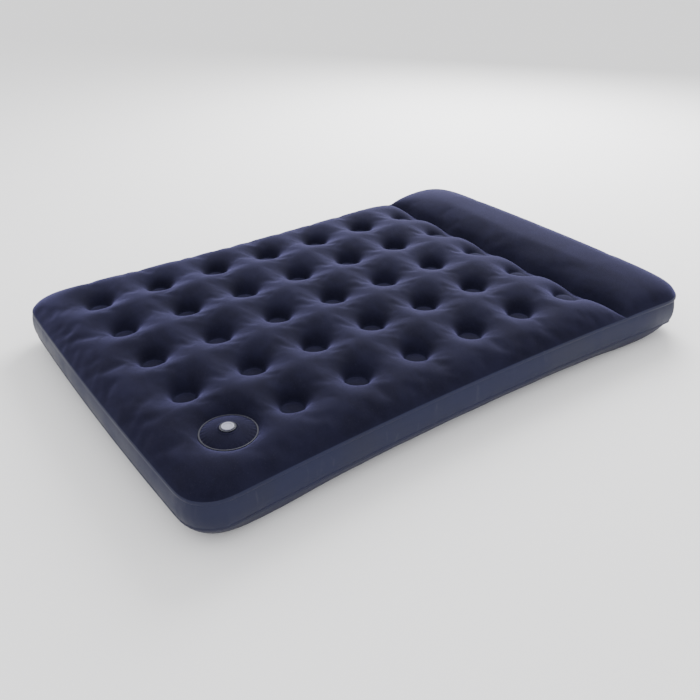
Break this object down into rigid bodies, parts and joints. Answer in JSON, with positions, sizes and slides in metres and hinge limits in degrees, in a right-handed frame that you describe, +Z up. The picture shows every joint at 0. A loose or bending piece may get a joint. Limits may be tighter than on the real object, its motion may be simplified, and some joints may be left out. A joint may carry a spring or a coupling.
{
  "type": "air mattress",
  "caption": "Double flocked air mattress: welded sheets over coil beams that pull round dimples, a raised pillow end, a built-in foot pump and a screw valve in the head wall.",
  "frame": {"origin": "on the floor under the middle of the mattress", "axes": "+Z up, +Y towards the pillow end, +X towards the long side that the foot pump is nearer to"},
  "size_m": [1.3212, 1.9221, 0.212],
  "materials": {
    "flocked_pvc": "short velvet flock",
    "side_pvc": "satin vinyl",
    "under_pvc": "embossed vinyl",
    "inner_pvc": "clear-grey vinyl",
    "ring_pvc": "satin vinyl",
    "foam": "open-cell foam",
    "collar_vinyl": "satin",
    "plug_vinyl": "soft gloss",
    "flap_rubber": "matt",
    "valve_vinyl": "satin",
    "valve_plastic": "moulded"
  },
  "bodies": {
    "root": {"top_sheet": "flocked_pvc", "pillow_panel": "flocked_pvc", "bottom_sheet": "under_pvc", "side_band": "side_pvc", "pillow_beam": "inner_pvc", "pump_well": "inner_pvc", "pump_ring": "ring_pvc", "pump_foam": "foam", "outlet_seat": "valve_vinyl", "valve_socket": "valve_vinyl", "coil_beam_r1c1": "inner_pvc", "coil_beam_r1c2": "inner_pvc", "coil_beam_r1c3": "inner_pvc", "coil_beam_r1c4": "inner_pvc", "coil_beam_r1c5": "inner_pvc", "coil_beam_r1c6": "inner_pvc", "coil_beam_r1c7": "inner_pvc", "coil_beam_r2c1": "inner_pvc", "coil_beam_r2c2": "inner_pvc", "coil_beam_r2c3": "inner_pvc", "coil_beam_r2c4": "inner_pvc", "coil_beam_r2c5": "inner_pvc", "coil_beam_r2c6": "inner_pvc", "coil_beam_r2c7": "inner_pvc", "coil_beam_r3c1": "inner_pvc", "coil_beam_r3c2": "inner_pvc", "coil_beam_r3c3": "inner_pvc", "coil_beam_r3c4": "inner_pvc", "coil_beam_r3c5": "inner_pvc", "coil_beam_r3c6": "inner_pvc", "coil_beam_r3c7": "inner_pvc", "coil_beam_r4c1": "inner_pvc", "coil_beam_r4c2": "inner_pvc", "coil_beam_r4c3": "inner_pvc", "coil_beam_r4c4": "inner_pvc", "coil_beam_r4c5": "inner_pvc", "coil_beam_r4c6": "inner_pvc", "coil_beam_r4c7": "inner_pvc", "coil_beam_r5c2": "inner_pvc", "coil_beam_r5c3": "inner_pvc", "coil_beam_r5c4": "inner_pvc", "coil_beam_r5c5": "inner_pvc", "coil_beam_r5c6": "inner_pvc", "coil_beam_r5c7": "inner_pvc"},
    "pump_cover": {"pump_cover": "flocked_pvc", "inlet_collar": "collar_vinyl"},
    "inlet_plug": {"inlet_plug": "plug_vinyl"},
    "inlet_flap": {"inlet_flap": "flap_rubber"},
    "outlet_flap": {"outlet_flap": "flap_rubber"},
    "valve_gasket": {"valve_gasket": "flap_rubber"},
    "valve_insert": {"valve_insert": "valve_plastic"},
    "valve_cap": {"valve_cap": "valve_plastic"},
    "valve_diaphragm": {"valve_diaphragm": "flap_rubber"}
  },
  "joints": [
    {"name": "pump_press", "type": "slide", "parent": "root", "child": "pump_cover", "axis": [0, 0, 1], "range_m": [-0.035, 0], "stiffness_N_per_m": 2000, "springref_m": 0.003, "deforming": ["pump_foam"]},
    {"name": "plug_pull", "type": "slide", "parent": "pump_cover", "child": "inlet_plug", "axis": [0, 0, 1], "range_m": [0, 0.02]},
    {"name": "inlet_flap_hinge", "type": "hinge", "parent": "pump_cover", "child": "inlet_flap", "pos_m": [0.467, -0.738, 0.1737], "axis": [0, -1, 0], "range_deg": [0, 40], "stiffness_Nm_per_rad": 0.002, "springref_deg": -11.46},
    {"name": "outlet_flap_hinge", "type": "hinge", "parent": "root", "child": "outlet_flap", "pos_m": [0.466, -0.738, 0.0682], "axis": [0, -1, 0], "range_deg": [0, 35], "stiffness_Nm_per_rad": 0.002, "springref_deg": -11.46},
    {"name": "valve_lift", "type": "slide", "parent": "root", "child": "valve_gasket", "axis": [0, 1, 0], "range_m": [0, 0.008]},
    {"name": "valve_turn", "type": "hinge", "parent": "valve_gasket", "child": "valve_insert", "pos_m": [0, 0.957, 0.099], "axis": [0, 1, 0], "range_deg": [0, 721]},
    {"name": "cap_hinge", "type": "hinge", "parent": "valve_insert", "child": "valve_cap", "pos_m": [0, 0.9633, 0.1165], "axis": [1, 0, 0], "range_deg": [0, 150]},
    {"name": "diaphragm_hinge", "type": "hinge", "parent": "valve_insert", "child": "valve_diaphragm", "pos_m": [0, 0.9465, 0.111], "axis": [-1, 0, 0], "range_deg": [0, 40]}
  ],
  "couplings": [
    {"joint": "valve_turn", "follows": "valve_lift", "rad_per_m": 1570.8}
  ]
}
